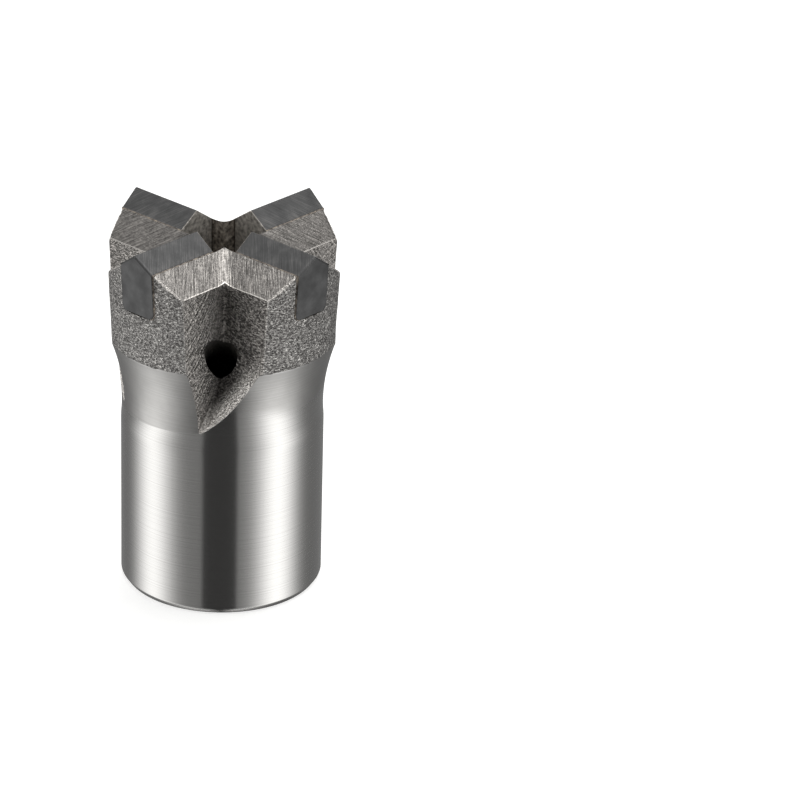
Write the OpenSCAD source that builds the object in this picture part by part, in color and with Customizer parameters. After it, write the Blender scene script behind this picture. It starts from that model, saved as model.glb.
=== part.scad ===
// Taper cross bit for rock drilling. A forged and turned steel body carries four carbide inserts,
// brazed into slots that cross at the middle of its crown, and a tapered socket for the drill rod
// opens at its foot. The foot stands at height zero and the wings lie along X and Y.

/* [Crown] */
// Diameter of the hole that the bit drills, across the ridge ends of opposite inserts
gauge_d = 42; // [38:0.5:48]
// Height of the whole bit, from the mouth of the socket to the ridges
bit_h = 64.8; // [60:0.2:80]
// Height of the forged crown, from its lower edge to the ridges
crown_h = 19.6; // [18:0.2:22]
// Width of each of the four wings of the crown
wing_w = 17.4; // [16:0.2:19]
// Slope of a wing's two flanks, from its ridge down to its sides
flank_angle = 35; // [28:1:40]
// Radius at the bottom of the valley between the flanks of neighbouring wings
valley_r = 3; // [1:0.5:4]
// Taper of the crown's side below the ridges, per side
gauge_taper = 3.5; // [1:0.5:5]
// Step from the outer face of an insert back to the forged side
gauge_step = 0.25; // [0.05:0.05:0.6]

/* [Inserts] */
// Thickness of each carbide insert, across its ridge
insert_w = 7.2; // [5:0.1:8]
// Height of each insert, from the floor of its slot to the ridge
insert_h = 10.8; // [8:0.2:12]
// Distance from the axis to the inner end of each insert
insert_inner_r = 6.3; // [5.5:0.1:8]
// Radius along the two lower edges of each insert
insert_edge_r = 1; // [0.3:0.1:2]
// Thickness of the braze between an insert and its slot
braze_t = 0.15; // [0.05:0.01:0.3]

/* [Flutes] */
// Radius of the disc cutter whose path shapes the flutes
cutter_r = 26; // [20:0.5:34]
// Depth below the ridges at which the flutes' straight walls end and the run-out starts
flute_h = 15; // [13:0.5:17]
// Radius of the cutter's rim, which rounds the corner between a flute's two walls
flute_corner_r = 0.8; // [0.3:0.1:1.5]

/* [Skirt] */
// Diameter of the straight skirt
skirt_d = 34.3; // [32:0.1:37]
// Smallest diameter of the hollow between the skirt and the crown
neck_d = 34; // [31:0.1:36]
// Radius of that hollow's curve, seen from the side
flare_r = 35; // [25:1:50]
// Width of the bevel round the foot
rim_w = 0.7; // [0.3:0.1:1.5]
// Height of the bevel round the foot
rim_h = 1; // [0.3:0.1:2]

/* [Socket] */
// Diameter of the socket at its mouth
socket_d = 22.9; // [20:0.1:26]
// Depth of the socket's tapered wall
socket_h = 42; // [36:0.5:44]
// Full angle of the socket's taper
socket_taper = 7; // [4.5:0.5:12]
// Point angle at the socket's inner end
socket_tip = 118; // [110:1:150]
// Width of the bevel inside the mouth
lip_w = 0.8; // [0.3:0.1:1.5]

/* [Flushing holes] */
// Diameter of the middle hole and of the two side holes
flush_d = 5.2; // [3:0.1:6]
// Depth below the ridges at which a side hole opens in its flute
side_hole_drop = 20; // [17:0.2:21]
// Rise of a side hole towards the outside
side_hole_rise = 40; // [20:1:50]
// Turn of a side hole from the middle of its flute, towards the north or south wing
side_hole_turn = 2; // [0:0.5:6]

/* [Hidden] */
$fn = 128;

// Turns of the four wings about the axis
east = 0;
north = 90;
west = 180;
south = 270;

gauge_r = gauge_d / 2;
crown_base = bit_h - crown_h;
crown_base_r = gauge_r - gauge_step - crown_h * tan(gauge_taper);
slot_floor = bit_h - insert_h - braze_t;
insert_floor = bit_h - insert_h;
// Room by which a cutting shape runs past what it cuts
past = 2;
reach = gauge_d;

skirt_r = skirt_d / 2;
neck_r = neck_d / 2;
flare_depth = crown_base_r - neck_r;
// Height of the hollow's narrowest point, below the crown by the rise of its arc
neck_z = crown_base - sqrt(pow(flare_r, 2) - pow(flare_r - flare_depth, 2));

socket_r = socket_d / 2;
socket_end_r = socket_r - socket_h * tan(socket_taper / 2);
socket_tip_h = socket_end_r / tan(socket_tip / 2);

flute_end = bit_h - flute_h;
// Horizontal distance from the axis to the corner of a flute
flute_corner = wing_w / sqrt(2);
side_hole_z = bit_h - side_hole_drop - flute_corner * tan(side_hole_rise);

// Fall of a valley line, and rise of the two flanks on either side of it
valley_fall = atan(tan(flank_angle) / sqrt(2));
valley_rise = acos(pow(cos(flank_angle), 2)) / 2;

// Radius of the crown's side at height z, stepped back from the gauge
function side_r(z, step) = gauge_r - step - (bit_h - z) * tan(gauge_taper);

// Cone of the crown's side, from z to just past the ridges
module gauge_cone(z, step) {
    top = bit_h + past;
    translate([0, 0, z])
        cylinder(r1 = side_r(z, step), r2 = side_r(top, step), h = top - z);
}

// Section of the turned blank: bevelled foot, straight skirt, hollow flare and tapered crown
module blank_section() {
    top = bit_h + past;
    difference() {
        polygon([
            [0, 0],
            [skirt_r - rim_w, 0],
            [skirt_r, rim_h],
            [skirt_r, neck_z],
            [crown_base_r, neck_z],
            [crown_base_r, crown_base],
            [side_r(top, gauge_step), top],
            [0, top],
        ]);
        translate([neck_r + flare_r, neck_z])
            circle(r = flare_r, $fn = 360);
    }
}

// Section of the groove between two wings, a V with a rounded bottom, pointing along -X
module valley_section() {
    side = valley_r * sin(valley_rise);
    touch = valley_r / cos(valley_rise) - valley_r * cos(valley_rise);
    far = reach * tan(valley_rise);
    polygon([
        [-touch, side],
        [-far, reach],
        [-far - reach, reach],
        [-far - reach, -reach],
        [-far, -reach],
        [-touch, -side],
    ]);
    translate([-valley_r / cos(valley_rise), 0])
        circle(r = valley_r);
}

// The four grooves that leave the wings' ridges and flanks standing
module valleys() {
    for (turn = [east, north, west, south])
        translate([0, 0, bit_h])
            rotate([0, 0, turn + 45])
                rotate([0, 90 + valley_fall, 0])
                    translate([0, 0, -reach])
                        linear_extrude(2 * reach) valley_section();
}

// Rectangle from the origin with the corner that lies there rounded
module corner_section(width, depth, r) {
    translate([r, 0])
        square([width - r, depth]);
    translate([0, r])
        square([width, depth - r]);
    translate([r, r])
        circle(r = r);
}

// One flute: the disc cutter's path down beside a wing, and its round run-out at the end
module flute() {
    translate([wing_w / 2, wing_w / 2, flute_end]) {
        linear_extrude(flute_h + past)
            corner_section(reach, 2 * cutter_r, flute_corner_r);
        translate([0, cutter_r, 0])
            rotate([0, 90, 0])
                rotate_extrude($fn = 360)
                    translate([cutter_r, 0])
                        mirror([1, 0])
                            corner_section(cutter_r, reach, flute_corner_r);
    }
}

// The four flutes. The cutter's flat side lies against the north and south wings.
module flutes() {
    for (x = [0, 1], y = [0, 1])
        mirror([x, 0, 0])
            mirror([0, y, 0])
                flute();
}

// Upright bar along X from the distance start, as wide as an insert grown all round by the braze.
// Its two lower edges are rounded.
module insert_bar(start, length, grow) {
    half = insert_w / 2 + grow;
    translate([start, 0, insert_floor - grow])
        rotate([90, 0, 90])
            linear_extrude(length)
                for (side = [0, 1])
                    mirror([side, 0])
                        translate([half, 0])
                            mirror([1, 0])
                                corner_section(half, insert_h + grow + past, insert_edge_r + grow);
}

// Slot through the crown along X, for two opposite inserts and their braze
module slot() {
    insert_bar(-reach, 2 * reach, braze_t);
}

// Tapered socket with its bevelled mouth and drilled end
module socket() {
    mouth_slope = tan(socket_taper / 2);
    translate([0, 0, -past])
        cylinder(r1 = socket_r + past * mouth_slope, r2 = socket_end_r, h = socket_h + past);
    translate([0, 0, socket_h])
        cylinder(r1 = socket_end_r, r2 = 0, h = socket_tip_h);
    translate([0, 0, -past])
        cylinder(r1 = socket_r + lip_w + past, r2 = socket_r - lip_w * mouth_slope, h = lip_w + past);
}

// Middle flushing hole, from the socket to the floor where the slots cross
module middle_hole() {
    translate([0, 0, socket_h - past])
        cylinder(d = flush_d, h = bit_h - socket_h + 2 * past);
}

// Side flushing holes, rising from the socket into two opposite flutes
module side_holes() {
    for (turn = [-45 - side_hole_turn, 135 - side_hole_turn])
        translate([0, 0, side_hole_z])
            rotate([0, 0, turn])
                rotate([0, 90 - side_hole_rise, 0])
                    cylinder(d = flush_d, h = reach);
}

module bit_body() {
    color([0.56, 0.54, 0.52])
        difference() {
            rotate_extrude($fn = 180) blank_section();
            valleys();
            flutes();
            slot();
            rotate([0, 0, north]) slot();
            socket();
            middle_hole();
            side_holes();
        }
}

// Carbide insert, ground to the wing's flanks and to the gauge
module insert(turn) {
    color([0.33, 0.33, 0.33])
        rotate([0, 0, turn])
            difference() {
                intersection() {
                    gauge_cone(insert_floor - past, 0);
                    insert_bar(insert_inner_r, reach, 0);
                }
                valleys();
            }
}

// Braze seam under an insert and up both of its sides, flush with the steel
module braze(turn) {
    color([0.72, 0.58, 0.32])
        rotate([0, 0, turn])
            difference() {
                intersection() {
                    gauge_cone(slot_floor - past, gauge_step);
                    insert_bar(insert_inner_r, reach, braze_t);
                }
                insert_bar(insert_inner_r - past, reach + 2 * past, 0);
                valleys();
            }
}

module insert_east() { insert(east); }
module insert_north() { insert(north); }
module insert_west() { insert(west); }
module insert_south() { insert(south); }
module braze_east() { braze(east); }
module braze_north() { braze(north); }
module braze_west() { braze(west); }
module braze_south() { braze(south); }

bit_body();
insert_east();
insert_north();
insert_west();
insert_south();
braze_east();
braze_north();
braze_west();
braze_south();
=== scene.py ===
import math

import bmesh
import bpy
from mathutils import Matrix, Quaternion, Vector, noise


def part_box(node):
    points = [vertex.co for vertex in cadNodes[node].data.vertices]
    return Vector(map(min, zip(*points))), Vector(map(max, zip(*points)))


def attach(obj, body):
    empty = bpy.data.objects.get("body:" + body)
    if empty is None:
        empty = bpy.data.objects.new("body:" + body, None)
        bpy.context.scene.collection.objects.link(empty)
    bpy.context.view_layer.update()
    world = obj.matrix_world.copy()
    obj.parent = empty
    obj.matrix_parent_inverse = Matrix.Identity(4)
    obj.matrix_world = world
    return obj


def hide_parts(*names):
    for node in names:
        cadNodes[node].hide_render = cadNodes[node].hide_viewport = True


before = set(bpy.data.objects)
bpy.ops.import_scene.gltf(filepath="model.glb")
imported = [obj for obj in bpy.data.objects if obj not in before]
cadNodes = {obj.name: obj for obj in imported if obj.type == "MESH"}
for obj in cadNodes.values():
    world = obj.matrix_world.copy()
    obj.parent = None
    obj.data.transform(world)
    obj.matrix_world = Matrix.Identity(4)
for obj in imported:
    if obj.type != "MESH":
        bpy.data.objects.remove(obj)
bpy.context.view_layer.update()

scene = bpy.context.scene
scene.view_settings.view_transform = "Standard"
mm = 0.001
wings = ("east", "north", "west", "south")

# The photograph's viewpoint. The bit stands left of the middle, so the camera is turned, not shifted.
cameraSetup = {
    "azimuth": 44.1,  # degrees, 0 looks along +Y
    "elevation": 25.2,
    "roll": 0.49,
    "distance": 737 * mm,  # from the target on the bit's axis
    "targetHeight": 33 * mm,
    "lens": 196.1,  # mm, on a sensor this wide
    "sensor": 36,
    "frameSize": 800,  # pixels each way
    "targetPixel": (222.6, 394.3),
}


def directionTo(azimuth, elevation):
    a, e = math.radians(azimuth), math.radians(elevation)
    return Vector((math.sin(a) * math.cos(e), -math.cos(a) * math.cos(e), math.sin(e)))


def makeCamera(setup):
    toCamera = directionTo(setup["azimuth"], setup["elevation"])
    half = setup["frameSize"] / 2
    pixelsPerUnit = setup["frameSize"] * setup["lens"] / setup["sensor"]
    column, row = setup["targetPixel"]
    aim = Vector(((column - half) / pixelsPerUnit, (half - row) / pixelsPerUnit, -1))
    data = bpy.data.cameras.new("camera")
    data.lens = setup["lens"]
    data.sensor_width = setup["sensor"]
    data.clip_start = 0.01
    data.clip_end = 20
    camera = bpy.data.objects.new("camera", data)
    camera.location = Vector((0, 0, setup["targetHeight"])) + toCamera * setup["distance"]
    camera.rotation_mode = "QUATERNION"
    level = (-toCamera).to_track_quat("-Z", "Y")
    rolled = level @ Quaternion((0, 0, 1), math.radians(setup["roll"]))
    camera.rotation_quaternion = rolled @ aim.rotation_difference(Vector((0, 0, -1)))
    scene.collection.objects.link(camera)
    scene.camera = camera


makeCamera(cameraSetup)
print("camera placed")


def linear(hexColour):
    channels = [int(hexColour[i:i + 2], 16) / 255 for i in (1, 3, 5)]
    return [c / 12.92 if c <= 0.04045 else ((c + 0.055) / 1.055) ** 2.4 for c in channels] + [1]


def addNode(tree, kind, settings, inputs):
    node = tree.nodes.new("ShaderNode" + kind)
    for name, value in settings.items():
        if name != "stops":
            setattr(node, name, value)
            continue
        stops = node.color_ramp.elements
        for i, (place, colour) in enumerate(value.items()):
            stop = stops[i] if i < 2 else stops.new(place)
            stop.position = place
            stop.color = linear(colour)
    for name, value in inputs.items():  # a number or colour is set, a node or its output is linked
        if isinstance(value, bpy.types.Node):
            value = value.outputs[0]
        if isinstance(value, bpy.types.NodeSocket):
            tree.links.new(value, node.inputs[name])
        else:
            node.inputs[name].default_value = linear(value) if isinstance(value, str) else value
    return node


def newMaterial(name):
    material = bpy.data.materials.new(name)
    material.use_nodes = True
    material.node_tree.nodes.clear()
    return material, material.node_tree


# Ends a material with its bumps, this many mm deep, and its shader
def addShader(tree, height, depth, inputs):
    bump = addNode(tree, "Bump", {}, {"Height": height, "Strength": 1, "Distance": depth * mm})
    shader = addNode(tree, "BsdfPrincipled", {}, {"Normal": bump, **inputs})
    addNode(tree, "OutputMaterial", {}, {"Surface": shader})


# Settings and inputs that many nodes share
add = {"operation": "ADD"}
subtract = {"operation": "SUBTRACT"}
multiply = {"operation": "MULTIPLY"}
multiplyAdd = {"operation": "MULTIPLY_ADD"}
maximum = {"operation": "MAXIMUM"}
dotProduct = {"operation": "DOT_PRODUCT"}
smoothStep = {"interpolation_type": "SMOOTHSTEP"}
lineNoise = {"noise_dimensions": "1D"}
mixNumbers = {"data_type": "FLOAT"}
mixColours = {"data_type": "RGBA"}


def within(value, span):
    return {"Value": value, "From Min": span[0], "From Max": span[1]}


# Sizes of the bit, in mm, that the finishes and the new meshes share
bitSizes = {
    "height": 64.8,
    "gaugeRadius": 21,
    "gaugeTaper": 3.5,  # degrees
    "gaugeStep": 0.25,
    "crownBase": 45.2,
    "flankAngle": 35,  # degrees
    "wingHalf": 8.7,
    "skirtRadius": 17.15,
    "neckRadius": 17,
    "neckHeight": 32.08,
    "flareRadius": 35,
    "cutterRadius": 26,
    "fluteEnd": 49.8,
    "fluteCorner": 0.4,  # sharper than the solid's, so that the flutes end in a point
    "rimWidth": 0.7,
    "rimHeight": 1,
    "socketRadius": 11.45,
    "socketTaper": 3.5,  # degrees, each side
    "lip": 0.8,
    "slotCorner": 1.15,
    "holeRadius": 2.6,
    "holeStart": 34.48,  # where the side holes' axes leave the bit's axis
    "holeTurn": -47,  # degrees from the east wing
    "holeRise": 40,  # degrees
}
crownSpan = 2.4 * bitSizes["gaugeRadius"] * mm  # longer than the crown is wide, to cut right through it


def sideRadius(z):
    fall = (bitSizes["height"] - z) * math.tan(math.radians(bitSizes["gaugeTaper"]))
    return bitSizes["gaugeRadius"] - bitSizes["gaugeStep"] - fall


# Radius of the turned outside, the skirt or the hollow above it, at a height in mm
def turnedRadius(z):
    if z < bitSizes["neckHeight"]:
        return bitSizes["skirtRadius"]
    arc = bitSizes["flareRadius"]
    return bitSizes["neckRadius"] + arc - math.sqrt(arc ** 2 - (z - bitSizes["neckHeight"]) ** 2)


def meshObject(name, bm):
    mesh = bpy.data.meshes.new(name)
    bm.to_mesh(mesh)
    bm.free()
    obj = bpy.data.objects.new(name, mesh)
    scene.collection.objects.link(obj)
    return obj


# Adds a modifier, puts its result in the mesh and takes it off again
def applied(obj, kind, **settings):
    modifier = obj.modifiers.new(kind.lower(), kind)
    for name, value in settings.items():
        setattr(modifier, name, value)
    graph = bpy.context.evaluated_depsgraph_get()
    mesh = bpy.data.meshes.new_from_object(obj.evaluated_get(graph))
    obj.modifiers.clear()
    obj.data = mesh


def shadeSmooth(obj, crease):
    for face in obj.data.polygons:
        face.use_smooth = True
    obj.data.set_sharp_from_angle(angle=math.radians(crease))


def setLooks(obj, looks):
    obj.data.materials.clear()
    for look in looks:
        obj.data.materials.append(look)


def discard(*objects):
    for obj in objects:
        bpy.data.objects.remove(obj)


def allOf(bm):
    return bm.verts[:] + bm.edges[:] + bm.faces[:]


def only(kind, geometry):
    return [item for item in geometry if isinstance(item, kind)]


def roundOff(bm, edges, size, segments):
    bmesh.ops.bevel(bm, geom=edges, offset=size * mm, segments=segments, profile=0.5,
                    affect="EDGES", clamp_overlap=True, material=-1)


def mergedCopy(name):
    bm = bmesh.new()
    bm.from_mesh(cadNodes[name].data)
    bmesh.ops.remove_doubles(bm, verts=bm.verts, dist=0.001 * mm)
    return bm


# The steel body: a forged crown with soft arrises, crisply milled flutes and slots, on a turned skirt
bodyShape = {
    "grain": 0.3,  # mm, size of the crown's mesh faces
    "softening": 2,  # passes that round the forged arrises
    "waves": ((5, 0.05), (1.6, 0.03)),  # mm, width and depth of the forging's unevenness
    "inset": 0.02,  # mm that the uneven surface lies deeper, to keep within the bit's size
    "turnedWithin": 0.1,  # mm from the turned hollow, inside which a vertex is part of it
    "turnedFacing": 0.75,  # and how level its normal is at least
    "ringStep": 1,  # mm between the skirt's rings
    "shoulderSteps": 6,  # rings that round the step from the hollow to the skirt
    "shoulderDrop": 0.5,  # mm from each of them to the next
    "turnedEdge": 0.12,  # mm, softness of the turned edges
    "gableHalf": 14.6,  # mm from a ridge out to the eaves of its gable
    "fillingRadius": 11.2,  # mm, inside the flutes' corners and outside the socket
    "cutterReach": (16, 20),  # mm from a flute's corner, across the disc and in from its rim, past the steel
    "runOutTurn": 60,  # degrees that the cutter's rim turns, until it is out of the steel
    "drillMiddle": 20, "drillLength": 24,  # mm, along a side hole's axis
    "sideHoleRoom": 0.1, "middleHoleRoom": 0.05,  # mm by which a drill is larger, to cut the mesh afresh
    "crease": 40,  # degrees, the least angle that is shaded as an edge
}


# The gable of steel that stood before the slots and flutes were milled, cut to the crown's tapered side
def gable(turn, side, slotFloor, ridge, shape):
    half = shape["gableHalf"] * mm
    eave = ridge - half * math.tan(math.radians(bitSizes["flankAngle"]))
    bottom = slotFloor - mm
    bm = bmesh.new()
    bmesh.ops.create_cube(bm, size=1)
    bmesh.ops.scale(bm, verts=bm.verts, vec=(crownSpan, 2 * half, eave - bottom))
    bmesh.ops.translate(bm, verts=bm.verts, vec=(0, 0, (eave + bottom) / 2))
    bmesh.ops.bisect_plane(bm, geom=allOf(bm), plane_co=(0, 0, 0), plane_no=(0, 1, 0))
    for vert in bm.verts:
        if abs(vert.co.y) < half / 2 and vert.co.z > slotFloor:
            vert.co.z = ridge
    bmesh.ops.rotate(bm, verts=bm.verts, matrix=Matrix.Rotation(math.radians(turn), 3, "Z"))
    bmesh.ops.recalc_face_normals(bm, faces=bm.faces)
    roof = meshObject("roof", bm)
    applied(roof, "BOOLEAN", operation="INTERSECT", object=side, solver="EXACT")
    return roof


# Bar that cuts one slot, parted at the recess, so that the recess's walls are faces of their own
def slotCutter(turn, slotHalf, slotFloor):
    height = 20 * mm  # well past the ridges
    bm = bmesh.new()
    bmesh.ops.create_cube(bm, size=1)
    bmesh.ops.scale(bm, verts=bm.verts, vec=(crownSpan, 2 * slotHalf, height))
    bmesh.ops.translate(bm, verts=bm.verts, vec=(0, 0, slotFloor + height / 2))
    lower = [e for e in bm.edges if all(v.co.z < slotFloor + mm for v in e.verts)
             and e.verts[0].co.y * e.verts[1].co.y > 0]
    roundOff(bm, lower, bitSizes["slotCorner"], 6)
    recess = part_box("insert_east")[0].x
    for end in (-recess, recess):
        bmesh.ops.bisect_plane(bm, geom=allOf(bm), plane_co=(end, 0, 0), plane_no=(1, 0, 0))
    bmesh.ops.rotate(bm, verts=bm.verts, matrix=Matrix.Rotation(math.radians(turn), 3, "Z"))
    return meshObject("slotCutter", bm)


def cylinder(name, low, high, lowRadius, highRadius, segments):
    bm = bmesh.new()
    bmesh.ops.create_cone(bm, cap_ends=True, segments=segments, depth=high - low,
                          radius1=lowRadius, radius2=highRadius)
    bmesh.ops.translate(bm, verts=bm.verts, vec=(0, 0, (low + high) / 2))
    return meshObject(name, bm)


# Ring of steel that stood where the flutes were milled, from the seam to the gables
def fluteFilling(low, high, shape):
    inner, base = shape["fillingRadius"], bitSizes["crownBase"]
    bm = bmesh.new()
    bmesh.ops.create_circle(bm, cap_ends=False, segments=360, radius=inner * mm)
    bmesh.ops.translate(bm, verts=bm.verts, vec=(0, 0, low * mm))
    first = bm.edges[:]
    steps = 36
    heights = [low + (base - low) * i / steps for i in range(steps + 1)]
    outside = [(turnedRadius(z), z) for z in heights] + [(sideRadius(high), high), (inner, high)]
    last = drawOut(bm, first, outside)
    bmesh.ops.bridge_loops(bm, edges=first + last)
    bmesh.ops.recalc_face_normals(bm, faces=bm.faces)
    return meshObject("fluteFilling", bm)


# The paths of the disc cutter down beside the wings, with a round run-out at the end of each
def fluteCutters(ridge, shape):
    wall, radius = bitSizes["wingHalf"] * mm, bitSizes["cutterRadius"] * mm
    soft, end = bitSizes["fluteCorner"] * mm, bitSizes["fluteEnd"] * mm
    past, steps = 2 * mm, 30
    across, inward = [reach * mm for reach in shape["cutterReach"]]
    corner = []
    for i in range(7):
        angle = math.pi * i / 12
        corner.append((soft - soft * math.cos(angle), soft - soft * math.sin(angle)))
    bm = bmesh.new()
    verts = []
    for x, y in corner + [(across, 0), (across, inward), (0, inward)]:
        verts += bmesh.ops.create_vert(bm, co=(wall + x, wall + y, ridge + past))["vert"]
    for pair in zip(verts, verts[1:] + verts[:1]):
        bmesh.ops.contextual_create(bm, geom=list(pair))
    rim = bm.edges[:]
    bmesh.ops.contextual_create(bm, geom=rim)
    for i in range(steps + 1):
        made = bmesh.ops.extrude_edge_only(bm, edges=rim)["geom"]
        rim = only(bmesh.types.BMEdge, made)
        moved = only(bmesh.types.BMVert, made)
        if i == 0:  # straight down, and then round with the disc
            bmesh.ops.translate(bm, verts=moved, vec=(0, 0, end - ridge - past))
            continue
        bmesh.ops.rotate(bm, verts=moved, cent=(0, wall + radius, end),
                         matrix=Matrix.Rotation(math.radians(shape["runOutTurn"] / steps), 3, "X"))
    bmesh.ops.contextual_create(bm, geom=rim)
    for mirror in ((-1, 1, 1), (1, -1, 1)):
        copied = bmesh.ops.duplicate(bm, geom=allOf(bm))["geom"]
        bmesh.ops.scale(bm, vec=mirror, verts=only(bmesh.types.BMVert, copied))
    bmesh.ops.recalc_face_normals(bm, faces=bm.faces)
    return meshObject("fluteCutters", bm)


# Directions of the two side holes, which rise from one point on the bit's axis
def holeLines():
    turn, rise = math.radians(bitSizes["holeTurn"]), math.radians(bitSizes["holeRise"])
    level = math.cos(rise)
    return [Vector((side * math.cos(turn) * level, side * math.sin(turn) * level, math.sin(rise)))
            for side in (1, -1)]


def holeDrills(shape):
    start = Vector((0, 0, bitSizes["holeStart"] * mm))
    radius = (bitSizes["holeRadius"] + shape["sideHoleRoom"]) * mm
    bm = bmesh.new()
    for line in holeLines():
        middle = Matrix.Translation(start + line * shape["drillMiddle"] * mm)
        bmesh.ops.create_cone(bm, cap_ends=True, segments=64, radius1=radius, radius2=radius,
                              depth=shape["drillLength"] * mm,
                              matrix=middle @ line.to_track_quat("Z", "Y").to_matrix().to_4x4())
    return meshObject("holeDrills", bm)


# Rounds every edge a little. A layer notes how much an outer edge lost, where the finish paints it lighter,
# part as rubbing wear and part as painted highlight.
def softenArrises(bm, shape):
    arrisRounding = bm.verts.layers.float.new("arrisRounding")
    before = [vert.co.copy() for vert in bm.verts]
    for _ in range(shape["softening"]):
        bmesh.ops.smooth_vert(bm, verts=bm.verts, factor=0.5,
                              use_axis_x=True, use_axis_y=True, use_axis_z=True)
    bm.normal_update()
    for vert, old in zip(bm.verts, before):
        vert[arrisRounding] = (old - vert.co).dot(vert.normal) / mm


# Moves the surface in and out as the forging left it. The turned hollow keeps its true curve.
def forgeUneven(bm, shape):
    crownBase = bitSizes["crownBase"] * mm
    bm.normal_update()
    moves = []
    for vert in bm.verts:
        height = 0
        for width, depth in shape["waves"]:
            height += noise.noise(vert.co / (width * mm)) * depth * mm
        radius = math.hypot(vert.co.x, vert.co.y)
        if vert.co.z < crownBase:
            turned = turnedRadius(vert.co.z / mm) * mm
            near = radius > turned - shape["turnedWithin"] * mm
            if near and vert.normal.xy.length > shape["turnedFacing"]:
                scale = turned / radius
                moves.append(Vector((vert.co.x * (scale - 1), vert.co.y * (scale - 1), 0)))
                continue
            if radius < bitSizes["socketRadius"] * mm:
                height = 0
        moves.append(vert.normal * (height - shape["inset"] * mm))
    for vert, move in zip(bm.verts, moves):
        vert.co += move


def setRing(rim, radius, z):
    for vert in {v for e in rim for v in e.verts}:
        scale = radius * mm / vert.co.xy.length
        vert.co = (vert.co.x * scale, vert.co.y * scale, z * mm)


# Extrudes a ring of edges through (radius, height) points in mm and gives the last ring
def drawOut(bm, rim, points):
    for radius, z in points:
        made = bmesh.ops.extrude_edge_only(bm, edges=rim)["geom"]
        rim = only(bmesh.types.BMEdge, made)
        setRing(rim, radius, z)
    return rim


# Draws the turned skirt, its bevelled foot and the socket's mouth down from the crown's cut edge
def addSkirt(bm, shape):
    seam, step, soft = bitSizes["neckHeight"], shape["ringStep"], shape["turnedEdge"]
    neck, skirt = bitSizes["neckRadius"], bitSizes["skirtRadius"]
    rim, rise = bitSizes["rimWidth"], bitSizes["rimHeight"]
    slope = math.tan(math.radians(bitSizes["socketTaper"]))
    mouth, lip = bitSizes["socketRadius"], bitSizes["lip"]
    rings = [e for e in bm.edges if e.is_boundary]
    outer = [e for e in rings if e.verts[0].co.xy.length > (mouth + skirt) / 2 * mm]
    inner = [e for e in rings if e.verts[0].co.xy.length <= (mouth + skirt) / 2 * mm]
    setRing(outer, neck, seam)
    setRing(inner, mouth - seam * slope, seam)
    levels = [seam - step * i for i in range(1, int((seam - rise) / step))]
    bevel = Vector((rim, rise)).normalized() * soft
    shoulder = []
    for i in range(1, shape["shoulderSteps"] + 1):
        share = (1 - math.cos(math.pi * i / shape["shoulderSteps"])) / 2
        shoulder.append((neck + (skirt - neck) * share, seam - shape["shoulderDrop"] * i))
    outside = shoulder + [(skirt, z) for z in levels if z < shoulder[-1][1]]
    outside += [(skirt, rise + 2 * soft), (skirt, rise + soft), (skirt - bevel.x / 3, rise + soft / 4),
                (skirt - bevel.x, rise - bevel.y), (skirt - rim + bevel.x, bevel.y),
                (skirt - rim + bevel.x / 3, soft / 4), (skirt - rim - soft / 2, 0),
                (skirt - rim - 3 * soft, 0)]
    inside = [(mouth - z * slope, z) for z in levels if z > 2 * lip]
    inside += [(mouth - (lip + 2 * soft) * slope, lip + 2 * soft), (mouth - lip * slope + soft / 4, lip),
               (mouth + lip - soft / 2, soft / 2), (mouth + lip + soft / 2, 0), (mouth + lip + 3 * soft, 0)]
    foot = drawOut(bm, outer, outside) + drawOut(bm, inner, inside)
    bmesh.ops.bridge_loops(bm, edges=foot)


def makeBody(shape):
    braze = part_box("braze_east")
    slotHalf, slotFloor = braze[1].y, braze[0].z
    ridge = bitSizes["height"] * mm
    low, high = slotFloor - 2 * mm, ridge + mm
    side = cylinder("side", low, high, sideRadius(low / mm) * mm, sideRadius(high / mm) * mm, 180)
    seam = bitSizes["neckHeight"] * mm
    cut = seam - 1.5 * mm  # a little of the skirt stays until the mesh is even
    fillings = [gable(turn, side, slotFloor, ridge, shape) for turn in (0, 90)]
    fillings.append(fluteFilling(cut / mm, slotFloor / mm, shape))

    bm = mergedCopy("bit_body")
    bmesh.ops.bisect_plane(bm, geom=allOf(bm), plane_co=(0, 0, cut), plane_no=(0, 0, 1), clear_inner=True)
    bmesh.ops.triangle_fill(bm, use_beauty=True, edges=[e for e in bm.edges if e.is_boundary])
    bmesh.ops.recalc_face_normals(bm, faces=bm.faces)
    for filling in fillings:
        bm.from_mesh(filling.data)
    body = meshObject("steelBody", bm)
    applied(body, "REMESH", mode="VOXEL", voxel_size=shape["grain"] * mm)

    bm = bmesh.new()
    bm.from_mesh(body.data)
    softenArrises(bm, shape)
    forgeUneven(bm, shape)
    bmesh.ops.bisect_plane(bm, geom=allOf(bm), plane_co=(0, 0, seam), plane_no=(0, 0, 1), clear_inner=True)
    near = [v for v in bm.verts if v.co.z < seam + 0.5 * shape["grain"] * mm]
    bmesh.ops.remove_doubles(bm, verts=near, dist=0.4 * shape["grain"] * mm)
    addSkirt(bm, shape)
    bmesh.ops.recalc_face_normals(bm, faces=bm.faces)
    bm.to_mesh(body.data)
    bm.free()

    radius = (bitSizes["holeRadius"] + shape["middleHoleRoom"]) * mm
    cutters = [slotCutter(turn, slotHalf, slotFloor) for turn in (0, 90)]
    cutters += [cylinder("hole", slotFloor - 3 * mm, ridge, radius, radius, 180),
                fluteCutters(ridge, shape), holeDrills(shape)]
    for cutter in cutters:
        applied(body, "BOOLEAN", operation="DIFFERENCE", object=cutter, solver="EXACT")
    discard(side, *fillings, *cutters)
    shadeSmooth(body, shape["crease"])
    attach(body, "root")
    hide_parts("bit_body")
    return body


steelBody = makeBody(bodyShape)
print("steel body made,", len(steelBody.data.polygons), "faces")


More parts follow.
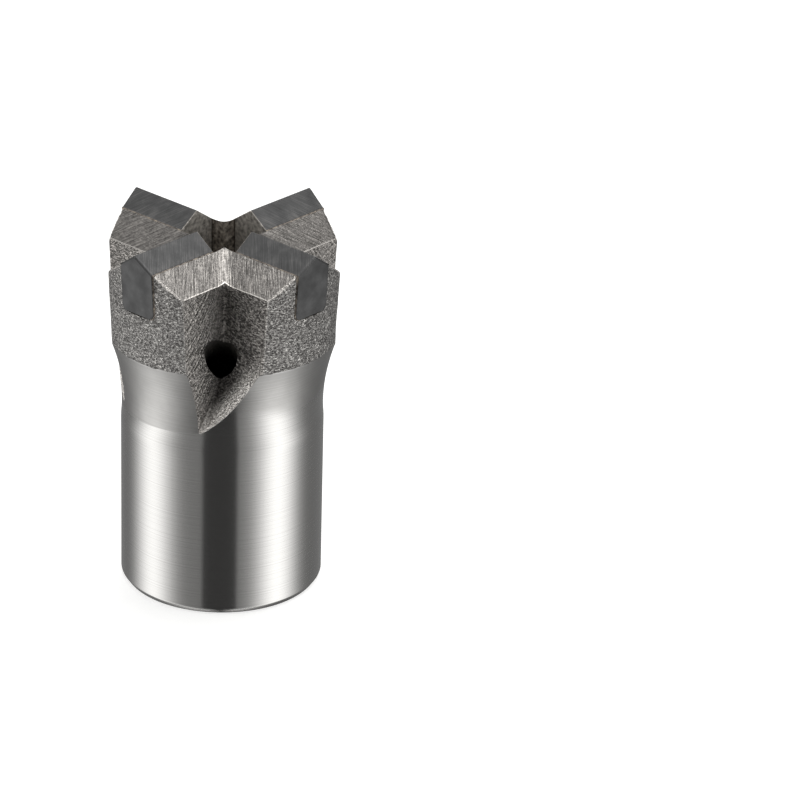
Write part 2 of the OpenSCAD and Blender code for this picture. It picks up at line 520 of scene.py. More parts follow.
# The carbide inserts: ground, with a fine worn chamfer on every edge
insertShape = {
    "flatWithin": 0.5,  # degrees, the angle below which neighbouring faces become one
    "endFrom": 19.5,  # mm from the bit's axis, beyond which the outer end's facets lie
    "endFacing": 0.9,  # how far outwards they face at least, where 1 is straight out
    "topFrom": (20, 60),  # mm from the axis and above the foot, where the outer end's top lies
    "gaugeChamfer": 0.4,  # mm, round the top of the outer end, which wears most
    "chamfer": 0.12,  # mm
    "sharpest": 20,  # degrees, the least angle that is an edge
    "crease": 9,  # degrees, the least angle that is shaded as one
}


def makeInsert(wing, shape):
    bm = mergedCopy("insert_" + wing)
    bmesh.ops.dissolve_limit(bm, angle_limit=math.radians(shape["flatWithin"]), verts=bm.verts,
                             edges=bm.edges, use_dissolve_boundaries=False, delimit=set())
    ends = []
    for face in bm.faces:
        middle = face.calc_center_median().xy
        outwards = face.normal.xy.dot(middle.normalized())
        if middle.length > shape["endFrom"] * mm and outwards > shape["endFacing"]:
            ends.append(face)
    bmesh.ops.dissolve_faces(bm, faces=ends, use_verts=True)
    away, above = [size * mm for size in shape["topFrom"]]
    outer = [e for e in bm.edges if all(v.co.xy.length > away and v.co.z > above for v in e.verts)]
    roundOff(bm, outer, shape["gaugeChamfer"], 5)
    edges = [e for e in bm.edges if e.calc_face_angle(0) > math.radians(shape["sharpest"])]
    roundOff(bm, edges, shape["chamfer"], 2)
    bmesh.ops.triangulate(bm, faces=[f for f in bm.faces if len(f.verts) > 4])
    obj = meshObject("carbide_" + wing, bm)
    shadeSmooth(obj, shape["crease"])
    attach(obj, "root")
    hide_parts("insert_" + wing)
    return obj


carbides = [makeInsert(wing, insertShape) for wing in wings]
print("inserts made")


# The braze seams, each with a small fillet up the insert's outer end, which stands a little proud
brazeShape = {
    "insertHalf": 3.6, "corner": 1, "fillet": 0.2,  # mm
    "endWithin": 0.02,  # mm from the crown's side, where a vertex is on the seam's outer end
    "insertWithin": 0.05,  # mm from the insert, where it is moved
}


def makeBraze(wing, turn, shape):
    bm = mergedCopy("braze_" + wing)
    outward = Vector((round(math.cos(turn)), round(math.sin(turn)), 0))
    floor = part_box("insert_" + wing)[0].z / mm
    for vert in bm.verts:
        place = vert.co / mm
        outerEnd = place.xy.length > sideRadius(place.z) - shape["endWithin"]
        side = abs(place.cross(outward).z) - (shape["insertHalf"] - shape["corner"])
        below = floor + shape["corner"] - place.z
        fromInsert = math.hypot(max(side, 0), max(below, 0)) - shape["corner"]
        if outerEnd and fromInsert < shape["insertWithin"]:
            vert.co += outward * shape["fillet"] * mm
    obj = meshObject("brazeSeam_" + wing, bm)
    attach(obj, "root")
    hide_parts("braze_" + wing)
    return obj


brazes = [makeBraze(wing, i * math.pi / 2, brazeShape) for i, wing in enumerate(wings)]
print("braze seams made")


# Nodes that tell a finish where on the bit it is, in mm
def placeNodes(tree):
    place = addNode(tree, "TexCoord", {}, {})
    inMm = addNode(tree, "VectorMath", {"operation": "SCALE"}, {0: place.outputs["Object"], "Scale": 1 / mm})
    axes = addNode(tree, "SeparateXYZ", {}, {0: inMm}).outputs
    facing = addNode(tree, "SeparateXYZ", {}, {0: place.outputs["Normal"]}).outputs
    return {"mm": inMm, "x": axes["X"], "y": axes["Y"], "z": axes["Z"], "facingUp": facing["Z"]}


# How far a point lies under the turned skin of the skirt and the hollow
def underSkin(tree, at):
    neck, arc = bitSizes["neckHeight"], bitSizes["flareRadius"]
    flat = addNode(tree, "VectorMath", multiply, {0: at["mm"], 1: (1, 1, 0)})
    radius = addNode(tree, "VectorMath", {"operation": "LENGTH"}, {0: flat}).outputs["Value"]
    rise = addNode(tree, "Math", subtract, {0: at["z"], 1: neck})
    above = addNode(tree, "Math", maximum, {0: rise, 1: 0})
    square = addNode(tree, "Math", multiply, {0: above, 1: above})
    rest = addNode(tree, "Math", subtract, {0: arc ** 2, 1: square})
    chord = addNode(tree, "Math", {"operation": "SQRT"}, {0: rest})
    reach = addNode(tree, "Math", add, {0: chord, 1: radius})
    return addNode(tree, "Math", subtract, {0: bitSizes["neckRadius"] + arc, 1: reach})


# Fine straight scratches of the grinding wheel, which ran along the valleys between the wings
def groundScratches(tree, at, pitch, length):
    product = addNode(tree, "Math", multiply, {0: at["x"], 1: at["y"]})
    sign = addNode(tree, "Math", {"operation": "SIGN"}, {0: product})
    mirrored = addNode(tree, "Math", multiply, {0: at["y"], 1: sign})
    across = addNode(tree, "Math", subtract, {0: at["x"], 1: mirrored})
    along = addNode(tree, "Math", add, {0: at["x"], 1: mirrored})
    lane = addNode(tree, "CombineXYZ", {}, {"X": across, "Y": along, "Z": at["z"]})
    stretched = addNode(tree, "VectorMath", {"operation": "DIVIDE"}, {0: lane, 1: (pitch, length, length)})
    return addNode(tree, "TexNoise", {}, {"Vector": stretched, "Scale": 1, "Detail": 3, "Roughness": 0.7})


# Alloy steel. The crown is forged and shot-blasted: a dull grey on fine curled grain, with painted glints on
# the grain's peaks. Its flanks are ground, so they have straight scratches, and the flutes' flat walls keep
# the arcs of the disc cutter.
# The hollow below the crown is rough-turned and the skirt fine-turned, which mirrors in upright bands.
steelFinish = {
    "skin": {0.25: "#4e4c4a", 0.5: "#757371", 0.75: "#acaaa6"},  # darker pits, plain skin and painted glints on the grain's peaks
    "grainSize": 0.45,  # mm, one blasted grain
    "grainStretch": 1.7,  # its length round the bit, against its height
    "coarseScale": 0.6,  # patches to a mm, broader than the grain
    "coarseShare": 0.2,  # and how much of the relief they are
    "forgedBump": 0.36,  # mm
    "forgedRoughness": 0.38,
    "edgeWave": 2.5, "edgeBlur": 0.06,  # mm, waviness and softness of the crown's lower edge
    "wornAndHighlightColour": "#b9b5b0",  # arrises, lighter: part rubbing wear, part painted highlight
    "wornAndHighlightFrom": (0.033, 0.05),  # mm lost in rounding, where the lighter arris starts and where it is full
    "wornAndHighlightUneven": 0.03,  # mm, added in patches

    "bare": {0.35: "#504e4b", 0.5: "#767370", 0.68: "#a29e99"},  # ground and milled steel
    "flankFacing": (0.55, 0.75),  # upward part of the normal, on a side and on a ground flank
    "groundRelief": 0.35,  # share of the bump that is left on the flanks
    "groundRoughness": 0.32,
    "scratchPitch": 0.3, "scratchLength": 6,  # mm
    "scratchShare": 0.75,

    "fluteDepth": (0.012, 0.03),  # mm under the turned skin, where a flute starts and is full
    "milledWithin": (0.03, 0.01),  # mm inside a flute's wall, where its finish starts and is full
    "arcPitch": 0.8, "arcWithin": 0.02,  # mm between the cutter's arcs, and from their wall
    "arcFrom": (9, 9.6), "arcShare": 0.45,  # mm from the bit's middle, and how clear they get
    "runOutHighlightColour": "#d2cec9", "runOutShadeColour": "#3c3a38",  # the flutes' run-outs: painted highlight at the lip, painted shade deeper in
    # the more a run-out faces upward, the more painted light it takes, up to this share
    "runOutFacing": (0.05, 0.3), "runOutShare": 0.7,
    "runOutShadeDepth": (0.8, 3.6),  # mm under the skin, from the painted highlight at the lip to the painted shade deeper in
    "arrisIn": 0.09, "arrisHalf": 0.08,  # mm in from the wall, and half the width of the painted highlight line
    "arrisHighlightShare": (0.3, 0.9),  # brightness of that painted highlight on a side and on a flank

    "skirt": {0.3: "#9b9a98", 0.6: "#a2a19f"}, "skirtRoughness": 0.2,
    "hollow": {0.4: "#8c8b89", 0.6: "#969593"}, "hollowRoughness": 0.36,
    "turningPitch": 0.25,  # mm between tool marks, coarser than real so that they show
    "markRelief": 0.0025,  # share of the bump
    "patchSize": 4,  # mm
    "anisotropy": 0.7,
    "finishLine": 33.9, "lineBlur": 0.2,  # mm, where the fine turning ends, and how softly
    "finishTilt": 0.09, "tiltAzimuth": 134,  # how much that line rises, and towards which side
    "blendAzimuth": 134,  # the side on which the line fades
    "blendFrom": (-4, 2), "fadeFrom": (2, 11),  # mm towards that side
    "blendRise": 5, "riseLeft": 0.2,  # mm that it is higher there, and the share left at the far end
    "blendWidth": 3.4,  # mm over which it fades
}


# Where the crown's finishes lie: all above a slightly wavy line, and the flutes cut through the turned skin
def crownMasks(tree, at, finish):
    blur = finish["edgeBlur"]
    wave = addNode(tree, "TexNoise", {}, {"Vector": at["mm"], "Scale": 1 / finish["edgeWave"], "Detail": 3})
    edge = addNode(tree, "Math", add, {0: wave, 1: bitSizes["crownBase"] - 0.5})  # noise averages 0.5
    overEdge = addNode(tree, "Math", subtract, {0: at["z"], 1: edge})
    crown = addNode(tree, "MapRange", smoothStep, within(overEdge, (-blur, blur)))
    depth = underSkin(tree, at)
    flute = addNode(tree, "MapRange", smoothStep, within(depth, finish["fluteDepth"]))
    aboveFoot = addNode(tree, "Math", {"operation": "GREATER_THAN"},
                        {0: at["z"], 1: 2 * bitSizes["rimHeight"]})
    flute = addNode(tree, "Math", multiply, {0: flute, 1: aboveFoot})
    forged = addNode(tree, "Math", maximum, {0: crown, 1: flute})
    ground = addNode(tree, "MapRange", smoothStep, within(at["facingUp"], finish["flankFacing"]))
    wide = addNode(tree, "Math", {"operation": "ABSOLUTE"}, {0: at["x"]})
    deep = addNode(tree, "Math", {"operation": "ABSOLUTE"}, {0: at["y"]})
    least = addNode(tree, "Math", {"operation": "MINIMUM"}, {0: wide, 1: deep})
    walls = [bitSizes["wingHalf"] - inside for inside in finish["milledWithin"]]
    milled = addNode(tree, "MapRange", {}, within(least, walls))
    return {"forged": forged, "ground": ground, "milled": milled, "depth": depth,
            "wide": wide, "deep": deep, "least": least}


# The cutter's arcs: each point is told by the height at which the disc passed it
def cutterArcs(tree, at, mask, finish):
    radius = bitSizes["cutterRadius"]
    centre = bitSizes["wingHalf"] + radius
    away = addNode(tree, "Math", subtract, {0: mask["deep"], 1: centre})
    square = addNode(tree, "Math", multiply, {0: away, 1: away})
    rest = addNode(tree, "Math", subtract, {0: radius ** 2, 1: square})
    sweep = addNode(tree, "Math", {"operation": "SQRT"}, {0: rest})
    passed = addNode(tree, "Math", add, {0: at["z"], 1: sweep})
    return addNode(tree, "TexNoise", lineNoise,
                   {"W": passed, "Scale": 1 / finish["arcPitch"], "Detail": 3, "Roughness": 0.6})


# Height of the crown's fine relief: blasted grain, longer round the bit than it is high, scratches on the
# flanks, and arcs on the flutes' flat walls
def crownRelief(tree, at, mask, coarse, finish):
    stretch = (1, 1, finish["grainStretch"])
    curled = addNode(tree, "VectorMath", multiply, {0: at["mm"], 1: stretch})
    fine = addNode(tree, "TexNoise", {}, {"Vector": curled, "Scale": 1 / finish["grainSize"], "Detail": 1,
                                          "Roughness": 0.5, "Distortion": 0.5})
    grains = addNode(tree, "MapRange", {}, within(fine, (0.2, 0.8)))
    blasted = addNode(tree, "Mix", mixNumbers, {0: finish["coarseShare"], 2: grains, 3: coarse})
    scratch = groundScratches(tree, at, finish["scratchPitch"], finish["scratchLength"])
    scratched = addNode(tree, "Mix", mixNumbers, {0: finish["scratchShare"], 2: blasted, 3: scratch})
    relief = addNode(tree, "Mix", mixNumbers, {0: mask["ground"], 2: blasted, 3: scratched})
    wall = addNode(tree, "Math", {"operation": "COMPARE"},
                   {0: mask["wide"], 1: bitSizes["wingHalf"], 2: finish["arcWithin"]})
    beyond = addNode(tree, "MapRange", {},
                     {**within(mask["deep"], finish["arcFrom"]), "To Max": finish["arcShare"]})
    cut = addNode(tree, "Math", multiply, {0: wall, 1: beyond})
    arcs = cutterArcs(tree, at, mask, finish)
    return addNode(tree, "Mix", mixNumbers, {0: cut, 2: relief, 3: arcs})


def crownColour(tree, at, mask, relief, coarse, finish):
    clean = addNode(tree, "Math", maximum, {0: mask["ground"], 1: mask["milled"]})
    # the forged skin follows the relief: darker in its pits and lighter on its peaks, where the lighter tone
    # is a painted glint
    skin = addNode(tree, "ValToRGB", {"stops": finish["skin"]}, {0: relief})
    bare = addNode(tree, "ValToRGB", {"stops": finish["bare"]}, {0: relief})
    shade = addNode(tree, "Mix", mixColours, {0: clean, 6: skin, 7: bare}).outputs[2]

    # painted light on the run-outs: where they face upward, a painted highlight at their lip turns to painted
    # shade deeper in
    curving = addNode(tree, "MapRange", {}, {**within(at["facingUp"], finish["runOutFacing"]),
                                             "To Max": finish["runOutShare"]})
    runOut = addNode(tree, "Math", multiply, {0: curving, 1: mask["milled"]})
    shadedDeeper = addNode(tree, "MapRange", smoothStep, within(mask["depth"], finish["runOutShadeDepth"]))
    runOutLightAndShade = addNode(tree, "Mix", mixColours,
                      {0: shadedDeeper, 6: finish["runOutHighlightColour"], 7: finish["runOutShadeColour"]}).outputs[2]
    shade = addNode(tree, "Mix", mixColours, {0: runOut, 6: shade, 7: runOutLightAndShade}).outputs[2]

    # painted highlight: the milled arris is a fine bright line, brighter on a flank than on a side, and the
    # forged arrises are lighter in places, part rubbing wear and part painted highlight
    arris = addNode(tree, "Math", {"operation": "COMPARE"},
                    {0: mask["least"], 1: bitSizes["wingHalf"] - finish["arrisIn"], 2: finish["arrisHalf"]})
    onSide, onFlank = finish["arrisHighlightShare"]
    share = addNode(tree, "MapRange", {}, {"Value": mask["ground"], "To Min": onSide, "To Max": onFlank})
    arrisHighlight = addNode(tree, "Math", multiply, {0: arris, 1: share})
    arrisRounding = addNode(tree, "Attribute", {"attribute_name": "arrisRounding"}, {}).outputs["Fac"]
    uneven = addNode(tree, "Math", multiplyAdd, {0: coarse, 1: finish["wornAndHighlightUneven"], 2: arrisRounding})
    wornAndHighlight = addNode(tree, "MapRange", {}, within(uneven, finish["wornAndHighlightFrom"]))
    rubbedAndHighlight = addNode(tree, "Math", maximum, {0: wornAndHighlight, 1: arrisHighlight})
    return addNode(tree, "Mix", mixColours, {0: rubbedAndHighlight, 6: shade, 7: finish["wornAndHighlightColour"]}).outputs[2]


# 1 where the rough turning of the hollow is, above a line that tilts, and that rises and fades on one side
def hollowMask(tree, at, finish):
    tilt = directionTo(finish["tiltAzimuth"], 0) * -finish["finishTilt"] + Vector((0, 0, 1))
    height = addNode(tree, "VectorMath", dotProduct, {0: at["mm"], 1: tilt}).outputs["Value"]
    sideways = addNode(tree, "VectorMath", dotProduct,
                       {0: at["mm"], 1: directionTo(finish["blendAzimuth"], 0)}).outputs["Value"]
    blend = addNode(tree, "MapRange", smoothStep, within(sideways, finish["blendFrom"]))
    rise = finish["blendRise"]
    fading = addNode(tree, "MapRange", {}, {**within(sideways, finish["fadeFrom"]),
                                            "To Min": -rise, "To Max": -finish["riseLeft"] * rise})
    raised = addNode(tree, "Math", multiplyAdd, {0: blend, 1: fading, 2: height})
    width = addNode(tree, "MapRange", {},
                    {"Value": blend, "To Min": finish["lineBlur"], "To Max": finish["blendWidth"]})
    over = addNode(tree, "Math", subtract, {0: raised, 1: finish["finishLine"]})
    over = addNode(tree, "Math", {"operation": "DIVIDE"}, {0: over, 1: width})
    return addNode(tree, "MapRange", smoothStep, within(over, (-0.5, 0.5)))


# Marks, colour and roughness of the turned steel. The marks run round the axis, so their noise reads the
# height alone.
def turnedLook(tree, at, finish):
    marks = addNode(tree, "TexNoise", lineNoise,
                    {"W": at["z"], "Scale": 1 / finish["turningPitch"], "Detail": 2, "Roughness": 0.7})
    fine = addNode(tree, "ValToRGB", {"stops": finish["skirt"]}, {0: marks})
    patches = addNode(tree, "TexNoise", {},
                      {"Vector": at["mm"], "Scale": 1 / finish["patchSize"], "Detail": 4})
    rings = addNode(tree, "Mix", mixNumbers, {0: 0.5, 2: marks, 3: patches})
    rough = addNode(tree, "ValToRGB", {"stops": finish["hollow"]}, {0: rings})
    hollow = hollowMask(tree, at, finish)
    colour = addNode(tree, "Mix", mixColours, {0: hollow, 6: fine, 7: rough}).outputs[2]
    roughness = addNode(tree, "Mix", mixNumbers,
                        {0: hollow, 2: finish["skirtRoughness"], 3: finish["hollowRoughness"]})
    return marks, colour, roughness


def steelMaterial(finish):
    material, tree = newMaterial("forgedAndTurnedSteel")
    at = placeNodes(tree)
    mask = crownMasks(tree, at, finish)
    forged, ground = mask["forged"], mask["ground"]
    coarse = addNode(tree, "TexNoise", {}, {"Vector": at["mm"], "Scale": finish["coarseScale"], "Detail": 3})
    relief = crownRelief(tree, at, mask, coarse, finish)
    crown = crownColour(tree, at, mask, relief, coarse, finish)
    marks, turned, turnedRough = turnedLook(tree, at, finish)

    colour = addNode(tree, "Mix", mixColours, {0: forged, 6: turned, 7: crown}).outputs[2]
    crownRough = addNode(tree, "Mix", mixNumbers,
                         {0: ground, 2: finish["forgedRoughness"], 3: finish["groundRoughness"]})
    roughness = addNode(tree, "Mix", mixNumbers, {0: forged, 2: turnedRough, 3: crownRough})
    lowMarks = addNode(tree, "Math", multiply, {0: marks, 1: finish["markRelief"]})
    smoother = addNode(tree, "MapRange", {}, {"Value": ground, "To Min": 1, "To Max": finish["groundRelief"]})
    lowered = addNode(tree, "Math", multiply, {0: relief, 1: smoother})
    bumps = addNode(tree, "Mix", mixNumbers, {0: forged, 2: lowMarks, 3: lowered})
    brushed = addNode(tree, "Mix", mixNumbers, {0: forged, 2: finish["anisotropy"], 3: 0})
    roundAxis = addNode(tree, "Tangent", {"direction_type": "RADIAL", "axis": "Z"}, {})
    addShader(tree, bumps, finish["forgedBump"],
              {"Metallic": 1, "Base Color": colour, "Roughness": roughness,
               "Anisotropic": brushed, "Anisotropic Rotation": 0.25, "Tangent": roundAxis})
    return material


# Crusts of oxide: dull with flux from brazing on the recess's walls, dark brown on its floor, greyer on the
# inserts' inner ends and nearly black in the holes
oxideFinish = {
    "recess": {0.32: "#4e4943", 0.52: "#958d83", 0.75: "#cfc7bc"},
    "floor": {0.32: "#1d1813", 0.52: "#352d24", 0.75: "#51463a"},
    "end": {0.32: "#74716c", 0.52: "#a5a099", 0.75: "#cfcac2"},
    "hole": {0.32: "#2a2826", 0.52: "#3b3936", 0.75: "#524e49"},
    "grain": 0.7, "bump": 0.1,  # mm
    "metallic": 0.3, "roughness": 0.55,
}


def oxideMaterial(name, place, finish):
    material, tree = newMaterial(name)
    at = placeNodes(tree)
    crust = addNode(tree, "TexNoise", {}, {"Vector": at["mm"], "Scale": 1 / finish["grain"], "Detail": 3})
    colour = addNode(tree, "ValToRGB", {"stops": finish[place]}, {0: crust})
    addShader(tree, crust, finish["bump"],
              {"Metallic": finish["metallic"], "Roughness": finish["roughness"], "Base Color": colour})
    return material


# The socket's wall: bored steel, an even grey
boreFinish = {"colour": "#8f8d8a", "roughness": 0.35, "pitch": 0.25, "bump": 0.01}  # mm


def boreMaterial(finish):
    material, tree = newMaterial("boredSteel")
    at = placeNodes(tree)
    marks = addNode(tree, "TexNoise", lineNoise, {"W": at["z"], "Scale": 1 / finish["pitch"], "Detail": 2})
    addShader(tree, marks, finish["bump"],
              {"Metallic": 1, "Roughness": finish["roughness"], "Base Color": finish["colour"]})
    return material


# Cemented carbide, ground: a dark even grey with fine straight scratches
carbideFinish = {
    "flank": {0.35: "#484848", 0.5: "#565656", 0.65: "#6c6b6a"},
    "side": {0.35: "#3c3c3c", 0.5: "#434343", 0.65: "#4b4b4b"},
    "scratchPitch": 0.2, "scratchLength": 8, "bump": 0.02,  # mm
    "cloudSize": 2.5, "cloudShare": 0.4,  # mm, and its part beside the scratches
    "flankFacing": (0.3, 0.6),  # upward part of the normal, on a side and on a ground flank
    "roughness": 0.4, "sideRoughness": 0.52,
}


def carbideMaterial(finish):
    material, tree = newMaterial("groundCarbide")
    at = placeNodes(tree)
    scratch = groundScratches(tree, at, finish["scratchPitch"], finish["scratchLength"])
    cloud = addNode(tree, "TexNoise", {}, {"Vector": at["mm"], "Scale": 1 / finish["cloudSize"], "Detail": 4})
    mixed = addNode(tree, "Mix", mixNumbers, {0: finish["cloudShare"], 2: scratch, 3: cloud})
    flank = addNode(tree, "ValToRGB", {"stops": finish["flank"]}, {0: mixed})
    side = addNode(tree, "ValToRGB", {"stops": finish["side"]}, {0: cloud})
    ground = addNode(tree, "MapRange", smoothStep, within(at["facingUp"], finish["flankFacing"]))
    colour = addNode(tree, "Mix", mixColours, {0: ground, 6: side, 7: flank}).outputs[2]
    marks = addNode(tree, "Math", multiply, {0: scratch, 1: ground})
    roughness = addNode(tree, "Mix", mixNumbers,
                        {0: ground, 2: finish["sideRoughness"], 3: finish["roughness"]})
    addShader(tree, marks, finish["bump"], {"Metallic": 1, "Roughness": roughness, "Base Color": colour})
    return material


# Brazing brass, dulled and browned by flux
brazeFinish = {"colours": {0.35: "#4a453f", 0.5: "#77706a", 0.7: "#9a9082"}, "cloud": 0.9}  # mm


def brazeMaterial(finish):
    material, tree = newMaterial("dulledBrass")
    at = placeNodes(tree)
    cloud = addNode(tree, "TexNoise", {}, {"Vector": at["mm"], "Scale": 1 / finish["cloud"], "Detail": 3})
    colour = addNode(tree, "ValToRGB", {"stops": finish["colours"]}, {0: cloud})
    shader = addNode(tree, "BsdfPrincipled", {}, {"Metallic": 1, "Roughness": 0.5, "Base Color": colour})
    addNode(tree, "OutputMaterial", {}, {"Surface": shader})
    return material


# Distance in mm from the nearer side hole's axis
def fromHoleAxis(point):
    start = Vector((0, 0, bitSizes["holeStart"]))
    return min((point / mm - start).cross(line).length for line in holeLines())


# Where the oxides and the socket's wall lie, in mm
finishPlaces = {
    "recessRoom": 0.1,  # past the inserts' inner ends, where the recess ends
    "recessDepth": 8,  # below its floor, down to where the middle hole meets the socket
    "floorHeight": 1.3,  # above its floor, which still counts as floor
    "wallFacing": 0.35,  # upward part of a wall's normal, at most
    "holeRoom": 0.1,  # past a side hole's radius
    "holeReach": 15,  # from the bit's axis, within which a side hole's wall lies
    "boreRadius": 11.6, "boreTop": 44,
    "boreFacing": 0.3,  # outward part of the normal of the socket's wall, at most
    "endRoom": 0.2,  # past an insert's inner end, where its crust ends
}


# Each face of the body takes the finish that its place has
def dressBody(body, places):
    slots = {"steel": steelMaterial(steelFinish),
             "recess": oxideMaterial("brazingOxide", "recess", oxideFinish),
             "floor": oxideMaterial("brownOxide", "floor", oxideFinish),
             "hole": oxideMaterial("blackOxide", "hole", oxideFinish),
             "bore": boreMaterial(boreFinish)}
    setLooks(body, slots.values())
    names = list(slots)
    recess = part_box("insert_east")[0].x + places["recessRoom"] * mm
    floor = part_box("braze_east")[0].z
    for face in body.data.polygons:
        centre, facing = face.center, face.normal
        radius = centre.xy.length
        outward = facing.xy.dot(centre.xy) / max(radius, mm)
        inRecess = max(abs(centre.x), abs(centre.y)) < recess
        nearHole = fromHoleAxis(centre) < bitSizes["holeRadius"] + places["holeRoom"]
        inBore = radius < places["boreRadius"] * mm and centre.z < places["boreTop"] * mm
        finish = "steel"
        if inRecess and centre.z > floor - places["recessDepth"] * mm:
            if centre.z < floor + places["floorHeight"] * mm:
                finish = "floor"
            elif abs(facing.z) < places["wallFacing"]:
                finish = "recess"
        elif nearHole and radius < places["holeReach"] * mm:
            finish = "hole"
        elif inBore and outward < places["boreFacing"]:
            finish = "bore"
        face.material_index = names.index(finish)


# The inserts' inner ends face the recess and are crusted too
def dressCarbide(obj, looks, places):
    setLooks(obj, looks)
    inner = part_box("insert_east")[0].x + places["endRoom"] * mm
    for face in obj.data.polygons:
        face.material_index = 1 if max(abs(face.center.x), abs(face.center.y)) < inner else 0


dressBody(steelBody, finishPlaces)
carbideLooks = (carbideMaterial(carbideFinish), oxideMaterial("endOxide", "end", oxideFinish))
brazeLook = brazeMaterial(brazeFinish)
for carbide, braze in zip(carbides, brazes):
    dressCarbide(carbide, carbideLooks, finishPlaces)
    setLooks(braze, [brazeLook])
print("finishes made")


# A pale floor, white surroundings and plain soft studio light.
# Metal mirrors what stands round it, so reflections alone see a light tent: grey cloth with a soft white
# panel on either side, a pale top and the dark slit that the camera looks through.
studio = {
    "floorSize": 8,  # metres
    "floorColour": "#e6e6e4",
    "floorLift": 0.6,  # glow that only the floor's own picture gains
    "worldLevel": 0.6,
    "lampAzimuth": 195, "lampElevation": 78,
    "lampDistance": 0.6, "lampSize": 0.34,  # metres
    "lampPower": 1.8,  # watts
}
tent = {
    "radius": 1.0, "bottom": -2.2, "top": 1.6,  # metres
    "cloth": 0.35,  # glow of the grey cloth, where 1 is white
    "frontGain": 0.08,  # added to it in front, taken off behind
    "panels": ((-41, 2.5), (111, 2.7)),  # azimuth and glow of each white panel
    "panelSpread": 10.5,  # a higher power makes a narrower panel
    "slitAzimuth": 42, "slitGlow": 0.09,
    "slitHalf": 19, "slitBlur": 1,  # degrees
    "foot": (-1.7, -0.5), "footGlow": 0.6,  # metres, where the cloth dims downwards, and to what share
    "shoulder": (0.3, 1.0),  # metres, where the cloth turns into the pale top
    "topGlow": 0.85,
}


# 1 where the eye, a mirror or a window looks at it, so that the background is white there
def seenDirectly(tree):
    path = addNode(tree, "LightPath", {}, {}).outputs
    either = addNode(tree, "Math", maximum, {0: path["Is Camera Ray"], 1: path["Is Glossy Ray"]})
    return addNode(tree, "Math", maximum, {0: either, 1: path["Is Transmission Ray"]})


def makeFloor(setup):
    material, tree = newMaterial("paleStudioFloor")
    paint = addNode(tree, "BsdfDiffuse", {}, {"Color": setup["floorColour"]})
    lift = addNode(tree, "Math", multiply, {0: seenDirectly(tree), 1: setup["floorLift"]})
    glow = addNode(tree, "Emission", {}, {"Strength": lift})
    both = addNode(tree, "AddShader", {}, {0: paint, 1: glow})
    addNode(tree, "OutputMaterial", {}, {"Surface": both})
    bm = bmesh.new()
    bmesh.ops.create_grid(bm, x_segments=1, y_segments=1, size=setup["floorSize"] / 2)
    floor = meshObject("studioFloor", bm)
    floor.data.materials.append(material)
    floor.visible_glossy = False


def makeWorld(setup):
    world = bpy.data.worlds.new("studio")
    world.use_nodes = True
    tree = world.node_tree
    tree.nodes.clear()
    level = addNode(tree, "MapRange", {},
                    {"Value": seenDirectly(tree), "To Min": setup["worldLevel"], "To Max": 1})
    back = addNode(tree, "Background", {}, {"Strength": level})
    addNode(tree, "OutputWorld", {}, {"Surface": back})
    scene.world = world


def makeLamp(setup):
    away = directionTo(setup["lampAzimuth"], setup["lampElevation"])
    data = bpy.data.lights.new("softbox", "AREA")
    data.size = setup["lampSize"]
    data.energy = setup["lampPower"]
    lamp = bpy.data.objects.new("softbox", data)
    lamp.location = away * setup["lampDistance"]
    lamp.rotation_mode = "QUATERNION"
    lamp.rotation_quaternion = (-away).to_track_quat("-Z", "Y")
    lamp.visible_camera = False
    scene.collection.objects.link(lamp)


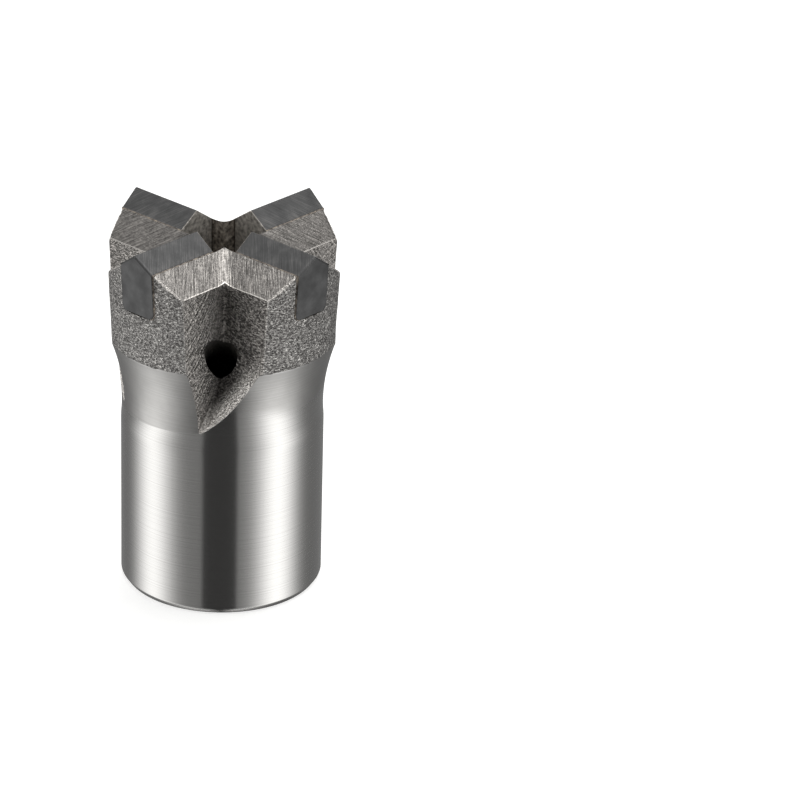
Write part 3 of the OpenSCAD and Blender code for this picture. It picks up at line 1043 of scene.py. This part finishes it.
def tentMaterial(setup):
    material, tree = newMaterial("lightTent")
    place = addNode(tree, "TexCoord", {}, {}).outputs["Object"]
    flat = addNode(tree, "VectorMath", multiply, {0: place, 1: (1, 1, 0)})
    facing = addNode(tree, "VectorMath", {"operation": "NORMALIZE"}, {0: flat})
    ahead = addNode(tree, "VectorMath", dotProduct,
                    {0: facing, 1: directionTo(setup["slitAzimuth"], 0)}).outputs["Value"]
    glow = addNode(tree, "Math", multiplyAdd, {0: ahead, 1: setup["frontGain"], 2: setup["cloth"]})
    for azimuth, strength in setup["panels"]:
        near = addNode(tree, "VectorMath", dotProduct,
                       {0: facing, 1: directionTo(azimuth, 0)}).outputs["Value"]
        front = addNode(tree, "Math", maximum, {0: near, 1: 0})
        shape = addNode(tree, "Math", {"operation": "POWER"}, {0: front, 1: setup["panelSpread"]})
        glow = addNode(tree, "Math", multiplyAdd, {0: shape, 1: strength, 2: glow})
    half = setup["slitHalf"]
    edges = [math.cos(math.radians(angle)) for angle in (half + setup["slitBlur"], half)]
    slit = addNode(tree, "MapRange", {}, within(ahead, edges))
    walls = addNode(tree, "Mix", mixNumbers, {0: slit, 2: glow, 3: setup["slitGlow"]})
    height = addNode(tree, "SeparateXYZ", {}, {0: place}).outputs["Z"]
    share = addNode(tree, "MapRange", smoothStep,
                    {**within(height, setup["foot"]), "To Min": setup["footGlow"]})
    walls = addNode(tree, "Math", multiply, {0: walls, 1: share})
    roof = addNode(tree, "MapRange", smoothStep, within(height, setup["shoulder"]))
    strength = addNode(tree, "Mix", mixNumbers, {0: roof, 2: walls, 3: setup["topGlow"]})
    light = addNode(tree, "Emission", {}, {"Strength": strength})
    addNode(tree, "OutputMaterial", {}, {"Surface": light})
    material.cycles.emission_sampling = "NONE"
    return material


# Reflections alone see it
def mirrorOnly(obj):
    obj.visible_camera = obj.visible_diffuse = obj.visible_shadow = obj.visible_transmission = False


def makeTent(setup):
    radius = setup["radius"]
    cloth = cylinder("lightTent", setup["bottom"], setup["top"], radius, radius, 96)
    cloth.data.materials.append(tentMaterial(setup))
    mirrorOnly(cloth)


# The floor is left out of reflections, so this disc keeps the tent's glow out of the socket
def shadeSocket():
    material, tree = newMaterial("blackCloth")
    cloth = addNode(tree, "BsdfDiffuse", {}, {"Color": "#0c0c0c"})
    addNode(tree, "OutputMaterial", {}, {"Surface": cloth})
    radius = (bitSizes["socketRadius"] + bitSizes["lip"]) * mm
    bm = bmesh.new()
    bmesh.ops.create_circle(bm, cap_ends=True, segments=64, radius=radius)
    disc = meshObject("socketShade", bm)
    disc.location.z = 0.1 * mm
    disc.data.materials.append(material)
    mirrorOnly(disc)


makeFloor(studio)
shadeSocket()
makeWorld(studio)
makeLamp(studio)
makeTent(tent)
print("studio lit")
